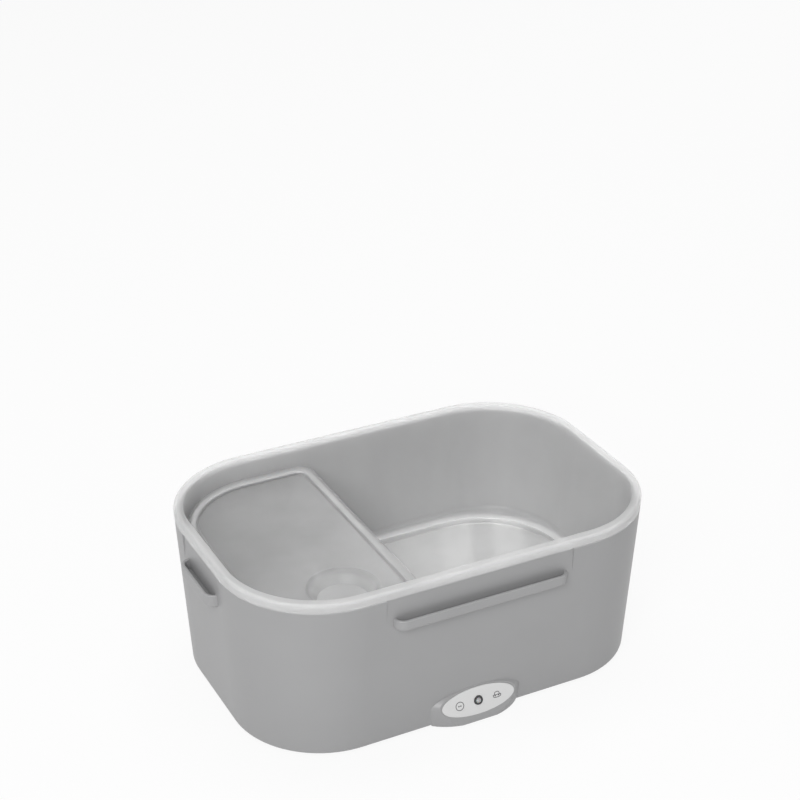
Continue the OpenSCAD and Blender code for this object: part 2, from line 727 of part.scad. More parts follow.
// Divider ridge: sloping sides and a rounded top, from the height low up, thinner all round by inset
module ridge(inset, low) {
    soft = 3 - inset * 0.6;
    top = cont_floor + ridge_h - inset;
    mid = (ridge_left + ridge_right) / 2;
    side = inset * 1.4;
    half = ridge_top_w / 2 - inset * 0.4;
    translate([0, cont_hy, 0]) rotate([90, 0, 0]) linear_extrude(2 * cont_hy) polygon(concat(
        [[ridge_right - side, low], [ridge_right - side, well_floor - inset]],
        arc([mid + half - soft * 0.5, top - soft], soft, 48, 90, 5),
        arc([mid - half + soft * 0.5, top - soft], soft, 90, 132, 5),
        [[ridge_left + side, well_floor - inset], [ridge_left + side, low]]));
}

// The room between the container's front and back walls, inset from their outside
module ridge_room(inset, low) {
    mid = [cont_hy - container_draft - cont_edge_r, cont_low + cont_edge_r];
    half = concat([[mid[0], low]], arc(mid, cont_edge_r - inset, -90, 0), [[cont_hy - inset, rim_low]]);
    translate([ridge_left - 5, 0, 0]) rotate([90, 0, 90]) linear_extrude(ridge_right - ridge_left + 10) {
        polygon(concat(half, [[0, rim_low], [0, low]]));
        mirror([1, 0]) polygon(concat(half, [[0, rim_low], [0, low]]));
    }
}

module side_tray() color("white", 0.6) {
    edge = [-tray_draft - bead - tray_edge_r, tray_low + tray_edge_r];
    sweep(tray_x0, tray_x1, tray_hy, tray_r, tray_small_r) polygon(concat(
        [[edge[0], tray_low]],
        arc(edge, tray_edge_r, -90, 0),
        [[-bead, tray_rim - skirt_h], [-bead, tray_rim - 3], [0, tray_rim - 2], [0, tray_rim - 0.4],
         [-0.4, tray_rim], [-bead - tray_wall, tray_rim]],
        arc(edge, tray_edge_r - tray_wall, 0, -90),
        [[edge[0], tray_low + tray_wall]]));
    plate(tray_x0 - edge[0], tray_x1 + edge[0], tray_hy + edge[0], tray_r + edge[0],
          tray_small_r + edge[0], tray_low, tray_low + tray_wall);
}

module tray_lid() color("white", 0.4) {
    inner = -panel_in;
    dish_floor = panel_top - dish_depth;
    difference() {
        union() {
            sweep(tray_x0, tray_x1, tray_hy, tray_r, tray_small_r) polygon(concat(
                [[fit, tray_top - skirt_h], [fit + skirt_t, tray_top - skirt_h]],
                arc([fit + skirt_t - 1, tray_top - 1], 1, 0, 90, 5),
                arc([inner + 0.6, tray_top - 0.6], 0.6, 90, 180, 4),
                [[inner, panel_top], [inner - 1, panel_top], [inner - 1, panel_top - lid_t],
                 [inner + lid_t, panel_top - lid_t], [inner + lid_t, tray_top - lid_t], [fit, tray_top - lid_t]]));
            plate(tray_x0 - inner + 0.5, tray_x1 + inner - 0.5, tray_hy + inner - 0.5, tray_r + inner - 0.5,
                  tray_small_r + inner - 0.5, panel_top - lid_t, panel_top);
            translate([dish_x, dish_y, dish_floor - lid_t])
                cylinder(r1 = dish_floor_d / 2 + lid_t, r2 = dish_d / 2 + lid_t, h = dish_depth);
        }
        translate([dish_x, dish_y, dish_floor]) cylinder(r1 = dish_floor_d / 2, r2 = dish_d / 2, h = dish_depth + eps);
    }
}

module tray_lid_seal() color("lightgray") sweep(tray_x0, tray_x1, tray_hy, tray_r, tray_small_r)
    translate([-bead - tray_wall, tray_top - lid_t - lid_seal_t]) square([bead + tray_wall, lid_seal_t]);

outer_housing();
bottom_cover();
cover_screws();
rubber_feet();
heating_pan();
pan_seal();
pan_screws();
insulation_pad();
heat_spreader();
mains_heater();
car_heater();
heater_clamp();
clamp_screws();
thermal_fuse();
mains_inlet();
mains_pins();
car_inlet();
car_pin();
car_inlet_nut();
indicator_plate();
led_bezel();
indicator_led();
led_board();
mains_leads();
car_leads();
led_leads();
food_container();
side_tray();
tray_lid();
tray_lid_seal();
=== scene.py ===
import json
import math

import bpy
import numpy as np
from mathutils import Matrix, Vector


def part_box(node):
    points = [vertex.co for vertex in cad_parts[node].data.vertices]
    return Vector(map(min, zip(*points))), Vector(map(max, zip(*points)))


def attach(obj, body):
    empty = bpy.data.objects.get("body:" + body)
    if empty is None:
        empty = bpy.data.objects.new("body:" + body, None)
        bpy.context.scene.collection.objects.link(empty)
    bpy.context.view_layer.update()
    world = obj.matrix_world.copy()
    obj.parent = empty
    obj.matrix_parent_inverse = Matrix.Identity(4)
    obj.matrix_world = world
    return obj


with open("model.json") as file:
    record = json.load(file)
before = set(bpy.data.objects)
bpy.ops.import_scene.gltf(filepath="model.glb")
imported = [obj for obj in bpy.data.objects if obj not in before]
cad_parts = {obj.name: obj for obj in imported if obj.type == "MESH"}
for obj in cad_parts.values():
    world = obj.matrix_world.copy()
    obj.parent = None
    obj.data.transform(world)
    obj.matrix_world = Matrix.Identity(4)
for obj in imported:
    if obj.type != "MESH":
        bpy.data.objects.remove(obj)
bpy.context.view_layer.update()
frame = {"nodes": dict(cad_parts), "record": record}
nodes = frame["nodes"]
print("lunch box: frame loaded,", len(nodes), "nodes")


# shader values and materials, written as plain sums

class Wire:
    # wraps a socket, so that sums on shader values are written as plain Python
    def __init__(self, finish, socket):
        self.finish = finish
        self.socket = socket

    # one Math node on these values
    def maths(self, operation, *values):
        return self.finish.add("ShaderNodeMath", {"operation": operation}, dict(enumerate(values)))

    def __add__(self, other): return self.maths("ADD", self, other)
    def __radd__(self, other): return self.maths("ADD", other, self)
    def __sub__(self, other): return self.maths("SUBTRACT", self, other)
    def __rsub__(self, other): return self.maths("SUBTRACT", other, self)
    def __mul__(self, other): return self.maths("MULTIPLY", self, other)
    def __rmul__(self, other): return self.maths("MULTIPLY", other, self)
    def __truediv__(self, other): return self.maths("DIVIDE", self, other)
    def __rtruediv__(self, other): return self.maths("DIVIDE", other, self)
    def __pow__(self, other): return self.maths("POWER", self, other)
    def __abs__(self): return self.maths("ABSOLUTE", self)

    def within(self, low, high):   # cut off at low and high
        return self.maths("MINIMUM", self.maths("MAXIMUM", self, low), high)

    def rise(self, low, high):   # 0 below low, 1 above high, smooth between
        return self.finish.add("ShaderNodeMapRange", {"interpolation_type": "SMOOTHSTEP"},
                               {"Value": self, "From Min": low, "From Max": high})


class Finish:
    # one material, built up from nodes
    def __init__(self, name):
        self.material = bpy.data.materials.new(name)
        self.material.use_nodes = True
        self.tree = self.material.node_tree
        self.shader = self.tree.nodes["Principled BSDF"]
        self.output = self.tree.nodes["Material Output"]

    def feed(self, socket, value):
        if isinstance(value, Wire):
            self.tree.links.new(value.socket, socket)
        elif value is not None:
            socket.default_value = value

    # any node: its settings first, then the values or links of its sockets
    def add(self, kind, settings=None, sockets=None, out=0):
        node = self.tree.nodes.new(kind)
        for key, value in (settings or {}).items():
            if key == "stops":
                ramp = node.color_ramp
                while len(ramp.elements) < len(value):
                    ramp.elements.new(0.5)
                for element, (place, grey) in zip(ramp.elements, value):
                    element.position = place
                    element.color = (grey, grey, grey, 1)
            else:
                setattr(node, key, value)
        for key, value in (sockets or {}).items():
            self.feed(node.inputs[key], value)
        return Wire(self, node.outputs[out])

    # values or links of the main shader's sockets
    def set(self, **sockets):
        for key, value in sockets.items():
            self.feed(self.shader.inputs[key.replace("_", " ")], value)

    # the point on the piece, turned first and then stretched
    def place(self, stretch=(1, 1, 1), turn=(0, 0, 0)):
        here = self.add("ShaderNodeTexCoord", out="Object")
        if any(turn):
            here = self.add("ShaderNodeMapping", {}, {"Vector": here, "Rotation": turn})
        return self.add("ShaderNodeMapping", {}, {"Vector": here, "Scale": stretch})

    # cloudy pattern, with features about as wide as size, in metres
    def noise(self, size, detail=3, rough=0.5, stretch=(1, 1, 1), turn=(0, 0, 0)):
        return self.add("ShaderNodeTexNoise", {}, {"Vector": self.place(stretch, turn),
                                                   "Scale": 1 / size, "Detail": detail, "Roughness": rough})

    # how far a point is from the middle of its cell, in cells of this size
    def cells(self, size):
        return self.add("ShaderNodeTexVoronoi", {"feature": "F1"},
                        {"Vector": self.place(), "Scale": 1 / size}, out="Distance")

    # one coordinate of the point, after the turn
    def along(self, axis, turn=(0, 0, 0)):
        return self.add("ShaderNodeSeparateXYZ", {}, {"Vector": self.place(turn=turn)}, out=axis)

    # how far a point is from the middle lines of an oblong with round corners: on the outline it is
    # the corner radius, all the way round
    def reach(self, halfX, halfY, corner):
        beyondX = (abs(self.along("X")) - (halfX - corner)).within(0, 1)
        beyondY = (abs(self.along("Y")) - (halfY - corner)).within(0, 1)
        return (beyondX * beyondX + beyondY * beyondY) ** 0.5

    # colour between two colours, each a wire or three numbers
    def mixed(self, share, dark, light):
        dark, light = (c if isinstance(c, Wire) else (*c, 1) for c in (dark, light))
        return self.add("ShaderNodeMix", {"data_type": "RGBA"}, {0: share, 6: dark, 7: light}, out=2)

    # the finish's own colour, from the first to the second tone of it as the share rises
    def toned(self, share, colour, tones):
        return self.mixed(share, shade(colour, tones[0]), shade(colour, tones[1]))

    # a raised height of 1 stands this deep, in metres, over the bump under it
    def bump(self, height, depth, under=None):
        return self.add("ShaderNodeBump", {}, {"Height": height, "Strength": 1.0, "Distance": depth,
                                               "Normal": under})


# a lighter or darker colour
def shade(colour, factor):
    return tuple(min(1, c * factor) for c in colour)


# finishes, one for each material of the object: sizes and depths are in metres, tones are the
# darkest and lightest share of the colour, and a name that ends in Rough says how far that pattern
# changes the roughness

moulding = dict(grainSize=0.00042, grainDepth=0.000012, grainTone=0.3, grainRough=0.10,
                waveSize=0.030, waveDepth=0.00012, waveTone=0.7, waveRough=0.08, coatRough=0.15)

# the housing's wall: half sizes and corner radius at the rim, how far it leans in for each metre
# down, from which depth behind its outer face it counts as the inner face, the painted shade on that inner
# face, and the painted highlight along its top edge
shell = dict(halfX=0.113, halfY=0.076, corner=0.052, rim=0.085, lean=0.0595,
             innerFrom=0.0014, innerFade=0.0005, paintedShadeTone=0.84, innerRough=0.12,
             paintedHighlightHeight=0.0008, paintedHighlightTone=1.22)


# 1 on the inner face of the housing's wall and 0 on its outer face, from the depth behind the
# leaning outer face
def insideOfShell(f):
    below = (shell["rim"] - f.along("Z")) * shell["lean"]
    reach = f.reach(shell["halfX"], shell["halfY"], shell["corner"])
    return (shell["corner"] - shell["innerFrom"] - below - reach).rise(0.0, shell["innerFade"])


# spark-eroded mould texture over a slow, faint sink in the walls; inside the housing's wall it is
# rougher and darker with painted shade, and the housing's top edge has a painted highlight
def mouldedPlastic(name, colour, rough, spread=0.05, grain=1.0, coat=0.0, housingWall=False):
    f = Finish(name)
    waves = f.noise(moulding["waveSize"], 2)
    fine = f.noise(moulding["grainSize"], 2, 0.6)
    share = waves * moulding["waveTone"] + fine * moulding["grainTone"]
    tone = f.toned(share, colour, (1 - spread, 1 + spread))
    dull = rough + (fine - 0.5) * moulding["grainRough"] + (waves - 0.5) * moulding["waveRough"]
    if housingWall:
        inner = insideOfShell(f)
        # painted shade: the inner face of the housing's wall is darkened
        tone = f.mixed(inner, tone, shade(colour, shell["paintedShadeTone"]))
        # painted highlight: a lighter band along the top edge of the housing's wall
        edge = f.along("Z").rise(shell["rim"] - shell["paintedHighlightHeight"], shell["rim"])
        tone = f.mixed(edge, tone, shade(colour, shell["paintedHighlightTone"]))
        dull = dull + inner * shell["innerRough"]
    sunk = f.bump(waves, moulding["waveDepth"])
    f.set(Base_Color=tone, Roughness=dull, Coat_Weight=coat, Coat_Roughness=moulding["coatRough"],
          Normal=f.bump(fine, moulding["grainDepth"] * grain, sunk))
    return f.material


# the sheet is rolled along a line turned this many degrees; bands: painted reflections, light and
# dark bands, each with how far across the rolling it lies, in metres, and how light the sheet is painted
# there
pan = dict(rolled=27.1, lineWidth=0.0011, lineDepth=0.000005, lineStretch=(1, 0.02, 1),
           bandShare=0.85, lineShare=0.15, tones=(0.50, 1.32), metal=0.72,
           rough=0.34, lineRough=0.14, bandRough=0.08, bandStart=-0.12, bandEnd=0.10,
           paintedReflectionStops=((-0.085, 0.08), (-0.080, 0.48), (-0.030, 0.50), (0.018, 0.70), (0.0205, 1.0),
                  (0.034, 1.0), (0.036, 0.50), (0.046, 0.50), (0.048, 0.95), (0.063, 0.88), (0.065, 0.35)))

# the pan's flange: its near-white colour, a painted highlight, from where the wall ends to its top,
# its corner radius and width, how fast its bead falls off, how much less metallic its painted highlight is,
# and how much less rough its polish is
flange = dict(colour=(0.95, 0.95, 0.95), wallTop=0.0232, top=0.0240, corner=0.052, wide=0.0046,
              beadCurve=200.0, lessMetal=0.40, lessRough=0.12)


# painted reflections: light and dark bands across the rolling
def paintedReflectionBands(f, turn):
    reach = pan["bandEnd"] - pan["bandStart"]
    stops = [((place - pan["bandStart"]) / reach, light) for place, light in pan["paintedReflectionStops"]]
    across = (f.along("X", turn) - pan["bandStart"]) / reach
    return f.add("ShaderNodeValToRGB", {"stops": stops}, {"Fac": across})


# the flange rounded like a bead: its height falls with the square of the distance from its middle line
def flangeBead(f):
    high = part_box("heating_pan")[1]
    half = flange["wide"] / 2
    middle = flange["corner"] - half
    across = (f.reach(high[0], high[1], flange["corner"]) - middle).within(-half, half)
    return f.bump(across * across * -flange["beadCurve"], 1.0)


# rolled sheet with fine lines along the rolling, painted reflections in broad bands across it, and a painted
# highlight on the polished flange
def panSteel(name, colour):
    f = Finish(name)
    turn = (0, 0, math.radians(pan["rolled"]))
    line = f.noise(pan["lineWidth"], 3, 0.6, stretch=pan["lineStretch"], turn=turn)
    paintedReflection = paintedReflectionBands(f, turn)
    flangePolishAndHighlight = f.along("Z").rise(flange["wallTop"], flange["top"])
    # painted reflection: the sheet's colour runs from dark to light with the bands
    sheet = f.toned(paintedReflection * pan["bandShare"] + line * pan["lineShare"], colour, pan["tones"])
    dull = pan["rough"] + line * pan["lineRough"] + paintedReflection * pan["bandRough"]
    # painted highlight: the flange is made near-white and less metallic
    f.set(Base_Color=f.mixed(flangePolishAndHighlight, sheet, flange["colour"]),
          Metallic=pan["metal"] - flangePolishAndHighlight * flange["lessMetal"],
          Roughness=dull - flangePolishAndHighlight * flange["lessRough"],
          Normal=f.bump(line, pan["lineDepth"], flangeBead(f)))
    return f.material


plating = dict(grainSize=0.0006, grainDepth=0.000006, grainRough=0.12, cloudSize=0.0072, cloudRough=0.06,
               tones=(0.90, 1.08))


# bright plating with fine grain and faint clouds
def platedSteel(name, colour, rough):
    f = Finish(name)
    fine = f.noise(plating["grainSize"], 3, 0.6)
    cloud = f.noise(plating["cloudSize"], 2)
    f.set(Base_Color=f.toned(cloud, colour, plating["tones"]), Metallic=1.0,
          Roughness=rough + fine * plating["grainRough"] + cloud * plating["cloudRough"],
          Normal=f.bump(fine, plating["grainDepth"]))
    return f.material


aluminium = dict(lineWidth=0.0008, lineDepth=0.00001, lineStretch=(0.03, 1, 1), lineShare=0.6,
                 cloudSize=0.012, cloudShare=0.4, tones=(0.88, 1.06), rough=0.34, lineRough=0.18)


# rolled plate, its fine lines along the object's length
def rolledAluminium(name, colour):
    f = Finish(name)
    rolled = f.noise(aluminium["lineWidth"], 3, 0.6, stretch=aluminium["lineStretch"])
    cloud = f.noise(aluminium["cloudSize"], 2)
    share = rolled * aluminium["lineShare"] + cloud * aluminium["cloudShare"]
    f.set(Base_Color=f.toned(share, colour, aluminium["tones"]), Metallic=1.0,
          Roughness=aluminium["rough"] + rolled * aluminium["lineRough"],
          Normal=f.bump(rolled, aluminium["lineDepth"]))
    return f.material


rubber = dict(grainSize=0.0003, grainDepth=0.00002, dustSize=0.006, dustFrom=0.45, dustTo=0.8,
              dustRough=0.2, tones=(1, 1.5))


# dull rubber or silicone with a little pale dust in patches
def dustyRubber(name, colour, rough):
    f = Finish(name)
    fine = f.noise(rubber["grainSize"], 2)
    dust = f.noise(rubber["dustSize"], 3, 0.6)
    f.set(Base_Color=f.toned(dust.rise(rubber["dustFrom"], rubber["dustTo"]), colour, rubber["tones"]),
          Roughness=rough + (dust - 0.5) * rubber["dustRough"], Normal=f.bump(fine, rubber["grainDepth"]))
    return f.material


felt = dict(fibreSize=0.0009, tuftSize=0.0022, tuftShare=0.4, depth=0.00035, tones=(0.82, 1.05),
            rough=0.95)


# matted fibres over small tufts
def pressedFelt(name, colour):
    f = Finish(name)
    fibre = f.noise(felt["fibreSize"], 6, 0.7)
    tuft = f.cells(felt["tuftSize"])
    f.set(Base_Color=f.toned(fibre, colour, felt["tones"]), Roughness=felt["rough"],
          Normal=f.bump(fibre + tuft * felt["tuftShare"], felt["depth"]))
    return f.material


# each sheet: its colour, how much it holds back seen straight on and along its length, its
# roughness, and the share of the light held back that still comes through scattered
sheets = dict(
    container=dict(colour=(0.965, 0.967, 0.97), straightOn=0.32, edgeOn=0.60, rough=0.30, glow=0.15),
    lid=dict(colour=(0.97, 0.972, 0.975), straightOn=0.16, edgeOn=0.29, rough=0.32, glow=0.38),
    tray=dict(colour=(0.97, 0.972, 0.975), straightOn=0.18, edgeOn=0.33, rough=0.32, glow=0.38),
)

# the lid's round finger dish, with painted shade inside it: its middle and radius, the width of its
# soft edge, how dark the painted shade is, and how much denser the sheet is there
lidDishShade = dict(x=-0.0583, y=-0.0443, radius=0.0145, edge=0.0025, tone=0.80, density=0.22)

# what all sheets share: flow marks and grain of the moulding, how soon the wall counts as seen along
# its length, and how much and how deep light spreads inside
milk = dict(flowSize=0.024, flowStretch=(1, 1, 0.4), flowDepth=0.00010, flowRough=0.08, flowDensity=0.05,
            grainSize=0.0011, grainDepth=0.000004, tones=(0.97, 1.02), facing=0.35,
            scatter=0.7, scatterDepth=0.004, bending=1.49)


# 1 inside a dish's circle, 0 outside
def insideDish(f, dish):
    offX, offY = f.along("X") - dish["x"], f.along("Y") - dish["y"]
    away = (offX * offX + offY * offY) ** 0.5
    return 1 - away.rise(dish["radius"], dish["radius"] + dish["edge"])


# milky moulded sheet: what lies behind shows through less where the wall is seen along its length;
# inside a dish's circle the sheet is denser and darker, painted shade
def milkySheet(name, sheet, dish=None):
    f = Finish(name)
    colour, thin, dense = sheet["colour"], sheet["straightOn"], sheet["edgeOn"]
    facing = f.add("ShaderNodeLayerWeight", {}, {"Blend": milk["facing"]}, out="Facing")
    flow = f.noise(milk["flowSize"], 2, stretch=milk["flowStretch"])
    fine = f.noise(milk["grainSize"], 2)
    tone = f.toned(flow, colour, milk["tones"])
    density = thin + facing * (dense - thin) + (flow - 0.5) * milk["flowDensity"]
    if dish:
        paintedDishShade = insideDish(f, dish)
        # painted shade: the dish's circle is darkened and made denser
        tone = f.mixed(paintedDishShade, tone, shade(colour, dish["tone"]))
        density = density + paintedDishShade * dish["density"]
    f.set(Base_Color=tone, Roughness=sheet["rough"] + (flow - 0.5) * milk["flowRough"], Alpha=density,
          Normal=f.bump(fine, milk["grainDepth"], f.bump(flow, milk["flowDepth"])),
          Subsurface_Weight=milk["scatter"], Subsurface_Radius=(1, 1, 1),
          Subsurface_Scale=milk["scatterDepth"],
          Transmission_Weight=sheet["glow"], IOR=milk["bending"])
    return f.material


sleeve = dict(grainSize=0.0015, grainDepth=0.00002, grainRough=0.1, tones=(0.9, 1.1), rough=0.34)


# the leads' glossy soft sleeves
def glossSleeve(name, colour):
    f = Finish(name)
    fine = f.noise(sleeve["grainSize"], 2)
    f.set(Base_Color=f.toned(fine, colour, sleeve["tones"]),
          Roughness=sleeve["rough"] + fine * sleeve["grainRough"], Normal=f.bump(fine, sleeve["grainDepth"]))
    return f.material


glaze = dict(speckSize=0.0006, speckDepth=0.00001, speckFrom=0.3, speckTo=0.7, speckRough=0.1,
             tones=(0.93, 1), rough=0.25)


# the fuse's glazed body, with faint specks
def glazedCeramic(name, colour):
    f = Finish(name)
    speck = f.noise(glaze["speckSize"], 4, 0.6)
    f.set(Base_Color=f.toned(speck.rise(glaze["speckFrom"], glaze["speckTo"]), colour, glaze["tones"]),
          Roughness=glaze["rough"] + speck * glaze["speckRough"], Normal=f.bump(speck, glaze["speckDepth"]))
    return f.material


board = dict(weaveSize=0.0006, weaveShare=0.2, weaveRough=0.1, trackSpacing=0.0036, trackGap=0.035,
             trackLength=1.6, trackRow=0.5, trackOffset=0.35, depth=0.00004, tones=(1, 1.9), rough=0.36)


# woven glass laminate under a green lacquer, with its copper tracks just raised
def boardLaminate(name, colour):
    f = Finish(name)
    weave = f.cells(board["weaveSize"])
    tracks = f.add("ShaderNodeTexBrick", {"offset": board["trackOffset"]},
                   {"Vector": f.place(), "Scale": 1 / board["trackSpacing"], "Mortar Size": board["trackGap"],
                    "Brick Width": board["trackLength"], "Row Height": board["trackRow"]}, out="Fac")
    f.set(Base_Color=f.toned(tracks, colour, board["tones"]),
          Roughness=board["rough"] + weave * board["weaveRough"],
          Normal=f.bump(tracks + weave * board["weaveShare"], board["depth"]))
    return f.material


lens = dict(cloudSize=0.0009, cloudDepth=0.00002, cloudRough=0.06, tones=(0.85, 1.2), rough=0.16,
            scatter=0.4, scatterDepth=0.001)


# the light's frosted lens, unlit
def lampLens(name, colour):
    f = Finish(name)
    cloud = f.noise(lens["cloudSize"], 2)
    f.set(Base_Color=f.toned(cloud, colour, lens["tones"]),
          Roughness=lens["rough"] + cloud * lens["cloudRough"], Normal=f.bump(cloud, lens["cloudDepth"]),
          Subsurface_Weight=lens["scatter"], Subsurface_Scale=lens["scatterDepth"])
    return f.material


# each material slot of the record with its finish: a name, a colour in linear light, a roughness
finishes = {
    "housing_plastic": mouldedPlastic("satinGreyMoulding", (0.342, 0.342, 0.346), 0.40, housingWall=True),
    "cover_plastic": mouldedPlastic("texturedGreyCover", (0.29, 0.29, 0.295), 0.55, grain=3.0),
    "socket_plastic": mouldedPlastic("blackSocketMoulding", (0.028, 0.028, 0.030), 0.42, 0.12),
    "plate_plastic": mouldedPlastic("palePlate", (0.70, 0.70, 0.70), 0.30, 0.02, grain=0.6, coat=0.15),
    "bezel_plastic": mouldedPlastic("darkLightRing", (0.045, 0.045, 0.047), 0.30, 0.10),
    "plated_steel": platedSteel("zincPlate", (0.74, 0.74, 0.73), 0.18),
    "nickel_plate": platedSteel("nickelPlate", (0.70, 0.68, 0.63), 0.14),
    "stainless": panSteel("panSteel", (0.60, 0.60, 0.595)),
    "aluminium_plate": rolledAluminium("rolledAluminium", (0.76, 0.77, 0.78)),
    "foot_rubber": dustyRubber("footRubber", (0.035, 0.035, 0.035), 0.72),
    "seal_silicone": dustyRubber("greySilicone", (0.22, 0.22, 0.22), 0.5),
    "lid_silicone": dustyRubber("whiteSilicone", (0.78, 0.78, 0.78), 0.45),
    "insulation_felt": pressedFelt("pressedFelt", (0.82, 0.81, 0.77)),
    "fuse_body": glazedCeramic("glazedFuse", (0.84, 0.82, 0.75)),
    "led_lens": lampLens("greyLampLens", (0.44, 0.44, 0.445)),
    "board_laminate": boardLaminate("greenLaminate", (0.03, 0.15, 0.06)),
    "lead_brown": glossSleeve("brownSleeve", (0.13, 0.055, 0.03)),
    "lead_red": glossSleeve("redSleeve", (0.48, 0.04, 0.03)),
    "lead_grey": glossSleeve("greySleeve", (0.33, 0.33, 0.33)),
    "clear_polypropylene": milkySheet("milkyPolypropylene", sheets["container"]),
    "clear_lid": milkySheet("clearLidSheet", sheets["lid"], lidDishShade),
}
# the small tray is moulded in a thinner, clearer sheet than the large container
ownFinish = {"side_tray": milkySheet("thinPolypropylene", sheets["tray"])}
for part in frame["record"]["subparts"]:
    for slot in nodes[part["node"]].material_slots:
        slot.material = ownFinish.get(part["node"], finishes[part["material_slot"]])
print("lunch box: finishes on every node")


# signs printed on the indicator plate

ink = dict(width=0.36, thick=0.05, colour=(0.10, 0.10, 0.105), tones=(0.8, 1.3), rough=0.5,
           patchSize=0.0005, patchDepth=0.000004, patchRough=0.1)

# the signs' middles and half width on the plate, in millimetres across and up from its middle, and
# what is inside them: the mains sign's two pin holes, the car sign's roof, foot and two wheels
signs = dict(mains=(-10.4, -0.3), car=(10.4, -0.1), half=2.15, pinApart=0.55, pinRadius=0.2,
             roofWide=0.62, roofHigh=0.72, footHigh=0.62, wheelApart=0.95, wheelDrop=0.45,
             wheelRadius=0.16, smallRing=16)


# thin dark ink, a little patchy
def printedInk(name):
    f = Finish(name)
    patchy = f.noise(ink["patchSize"], 3)
    f.set(Base_Color=f.toned(patchy, ink["colour"], ink["tones"]),
          Roughness=ink["rough"] + patchy * ink["patchRough"], Normal=f.bump(patchy, ink["patchDepth"]))
    return f.material


# lines on the plate are (across, up) pairs in millimetres: here a circle
def ringLine(centre, radius, count=40):
    t = np.linspace(0, 2 * math.pi, count)
    return np.stack([centre[0] + radius * np.cos(t), centre[1] + radius * np.sin(t)], 1)


# points evenly spaced from start to end
def straightLine(start, end, count=6):
    t = np.linspace(0, 1, count)[:, None]
    return (1 - t) * np.array(start) + t * np.array(end)


# half of a superellipse, |x/a|^n + |y/b|^n = 1, from its right end over the top to its left end
def hoodLine(centre, a, b, n=3.0, count=28):
    t = np.linspace(0, math.pi, count)
    c, s = np.cos(t), np.sin(t)
    across = centre[0] + a * np.sign(c) * np.abs(c) ** (2 / n)
    return np.stack([across, centre[1] + b * np.abs(s) ** (2 / n)], 1)


# a flat ribbon carried along a line: four corners of its section at each point of the line
def inkRibbon(line, width, thick):
    step = np.gradient(line, axis=0)
    side = np.stack([-step[:, 1], step[:, 0]], 1) / np.linalg.norm(step, axis=1)[:, None] * width / 2
    low = np.zeros((len(line), 1))
    high = low + thick
    ring = [np.hstack([line + side, low]), np.hstack([line + side, high]),
            np.hstack([line - side, high]), np.hstack([line - side, low])]
    points = np.stack(ring, 1).reshape(-1, 3)
    i = np.arange(len(line) - 1)[:, None] * 4
    k = np.arange(4)[None]
    faces = np.stack([i + k, i + (k + 1) % 4, i + 4 + (k + 1) % 4, i + 4 + k], 2).reshape(-1, 4)
    last = 4 * (len(line) - 1)
    ends = np.array([[3, 2, 1, 0], [last, last + 1, last + 2, last + 3]])
    return points, np.vstack([faces, ends])


perMetre = 1000   # millimetres

# the plate leans back by this many degrees; its thickness is in millimetres
plate = dict(lean=16.0, thick=1.2)
plateLow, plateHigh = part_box("indicator_plate")
plateMiddle = (np.array(plateLow) + np.array(plateHigh)) / 2
tilt = math.radians(plate["lean"])
plateOut = np.array([0, -math.cos(tilt), math.sin(tilt)])
plateUp = np.array([0, math.sin(tilt), math.cos(tilt)])
plateFace = plateMiddle + plateOut * plate["thick"] / 2 / perMetre


# from the plate's own millimetres, across, up and out of its face, to the object's metres
def onPlate(points):
    across, up, out = (points[:, i:i + 1] / perMetre for i in range(3))
    return plateFace + across * np.array([1, 0, 0]) + up * plateUp + out * plateOut


# a new piece from points and faces, riding on a body of the object
def meshPiece(name, points, faces, material, body):
    mesh = bpy.data.meshes.new(name)
    mesh.from_pydata(points.tolist(), [], faces.tolist())
    mesh.validate()
    mesh.update()
    mesh.materials.append(material)
    piece = bpy.data.objects.new(name, mesh)
    bpy.context.scene.collection.objects.link(piece)
    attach(piece, body)


# one sign from its lines
def printedSign(name, lines):
    points, faces, count = [], [], 0
    for line in lines:
        p, q = inkRibbon(line, ink["width"], ink["thick"])
        points.append(p)
        faces.append(q + count)
        count += len(p)
    points, faces = onPlate(np.vstack(points)), np.vstack(faces)
    meshPiece(name, points, faces, inkFinish, "housing")


# a ring with two pin holes
def mainsSign():
    x, y = signs["mains"]
    holes = [ringLine((x + side * signs["pinApart"], y), signs["pinRadius"], signs["smallRing"])
             for side in (-1, 1)]
    printedSign("mains_sign", [ringLine((x, y), signs["half"])] + holes)


# roof, lower body, waistline and two wheels
def carSign():
    x, y = signs["car"]
    half = signs["half"]
    wheels = [ringLine((x + side * signs["wheelApart"], y - signs["wheelDrop"]), signs["wheelRadius"],
                       signs["smallRing"]) for side in (-1, 1)]
    printedSign("car_sign", [hoodLine((x, y), half * signs["roofWide"], half * signs["roofHigh"]),
                             hoodLine((x, y), half, -half * signs["footHigh"]),
                             straightLine((x - half, y), (x + half, y))] + wheels)


inkFinish = printedInk("darkPlateInk")
mainsSign()
carSign()
print("lunch box: plate signs")


# stage, light and camera

# the floor lies a hair under the feet; where it is seen directly, this share of it is plain white
stage = dict(floorReach=6.0, floorLow=-0.0002, floorGrey=0.85, floorRough=0.9, floorGlow=0.90)


# the rays that see the floor and the world as plain white, from the camera, off gloss and through
# clear walls; all other rays meet the floor's grey and the sky's own strength
directRays = ("Is Camera Ray", "Is Glossy Ray", "Is Transmission Ray")


def seenDirectly(f):
    seen = 0
    for ray in directRays:
        seen = f.add("ShaderNodeMath", {"operation": "MAXIMUM"},
                     {0: seen, 1: f.add("ShaderNodeLightPath", out=ray)})
    return seen


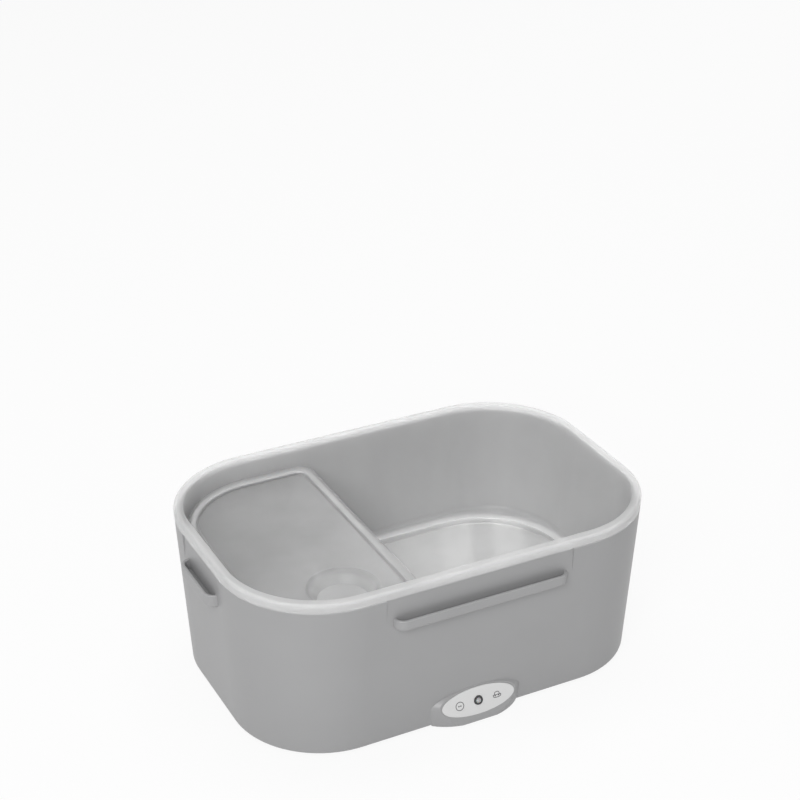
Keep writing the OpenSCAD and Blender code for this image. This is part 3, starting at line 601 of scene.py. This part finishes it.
# a wide pale floor that keeps the object's shadow
def paleFloor():
    f = Finish("paleFloor")
    f.set(Base_Color=(stage["floorGrey"],) * 3 + (1,), Roughness=stage["floorRough"])
    glow = f.add("ShaderNodeEmission", {}, {"Color": (1, 1, 1, 1), "Strength": 1.0})
    blend = f.add("ShaderNodeMixShader", {}, {0: seenDirectly(f) * stage["floorGlow"],
                                              1: Wire(f, f.shader.outputs[0]), 2: glow})
    f.feed(f.output.inputs["Surface"], blend)
    reach, low = stage["floorReach"], stage["floorLow"]
    corners = [(x * reach, y * reach, low) for x, y in ((-1, -1), (1, -1), (1, 1), (-1, 1))]
    mesh = bpy.data.meshes.new("studioFloor")
    mesh.from_pydata(corners, [], [(0, 1, 2, 3)])
    mesh.materials.append(f.material)
    floor = bpy.data.objects.new("studioFloor", mesh)
    bpy.context.scene.collection.objects.link(floor)


sky = dict(light=0.34)


# the soft light from all round
def studioWorld():
    world = bpy.data.worlds.new("studioWorld")
    bpy.context.scene.world = world
    world.use_nodes = True
    tree = world.node_tree
    back = tree.nodes["Background"]
    back.inputs["Color"].default_value = (1, 1, 1, 1)
    path = tree.nodes.new("ShaderNodeLightPath")
    level = tree.nodes.new("ShaderNodeMapRange")
    level.inputs["To Min"].default_value = sky["light"]
    level.inputs["To Max"].default_value = 1.0
    seen = path.outputs[directRays[0]]
    for ray in directRays[1:]:
        either = tree.nodes.new("ShaderNodeMath")
        either.operation = "MAXIMUM"
        tree.links.new(seen, either.inputs[0])
        tree.links.new(path.outputs[ray], either.inputs[1])
        seen = either.outputs[0]
    tree.links.new(seen, level.inputs["Value"])
    tree.links.new(level.outputs[0], back.inputs["Strength"])


# each lamp: where it stands, what it looks at, its width and height, and its power in watts
lamps = dict(
    key=dict(at=(-0.9, -1.12, 1.1), to=(0, 0, 0.08), size=(0.9, 0.9), power=18.5),
    edge=dict(at=(1.1, 0.9, 0.7), to=(0, 0, 0.08), size=(0.6, 1.0), power=1.5),
    top=dict(at=(0.1, 0.3, 1.5), to=(0, 0, 0.08), size=(1.2, 0.7), power=7.0),
)


# stands a lamp or camera at one point and turns it to look at another
def aim(thing, at, to):
    away = np.array(at, float) - np.array(to, float)
    away /= np.linalg.norm(away)
    right = np.cross([0, 0, 1], away)
    right /= np.linalg.norm(right)
    up = np.cross(away, right)
    turned = np.eye(4)
    turned[:3, 0], turned[:3, 1], turned[:3, 2], turned[:3, 3] = right, up, away, at
    thing.matrix_world = Matrix(turned.tolist())


def studioLamps():
    for name, lamp in lamps.items():
        data = bpy.data.lights.new(name + "Lamp", "AREA")
        data.shape = "RECTANGLE"
        data.size, data.size_y = lamp["size"]
        data.energy = lamp["power"]
        thing = bpy.data.objects.new(name + "Lamp", data)
        bpy.context.scene.collection.objects.link(thing)
        aim(thing, lamp["at"], lamp["to"])


# the photograph's view: angles in degrees, lengths in metres, focal length in pixels of its width,
# sensor in millimetres
view = dict(azimuth=-27.11, elevation=27.23, distance=0.8944, target=(-0.005, 0, 0.1436), focal=1832.6,
            pixels=800, sensor=36.0, nearest=0.01, farthest=30)


def photoCamera():
    a, e = math.radians(view["azimuth"]), math.radians(view["elevation"])
    away = np.array([math.sin(a) * math.cos(e), -math.cos(a) * math.cos(e), math.sin(e)])
    data = bpy.data.cameras.new("photoCamera")
    data.sensor_width = view["sensor"]
    data.lens = view["focal"] / view["pixels"] * view["sensor"]
    data.clip_start, data.clip_end = view["nearest"], view["farthest"]
    thing = bpy.data.objects.new("photoCamera", data)
    bpy.context.scene.collection.objects.link(thing)
    aim(thing, np.array(view["target"]) + away * view["distance"], view["target"])
    bpy.context.scene.camera = thing


paleFloor()
studioWorld()
studioLamps()
photoCamera()
bpy.context.scene.view_settings.view_transform = "Standard"
print("lunch box: stage, lamps and camera")
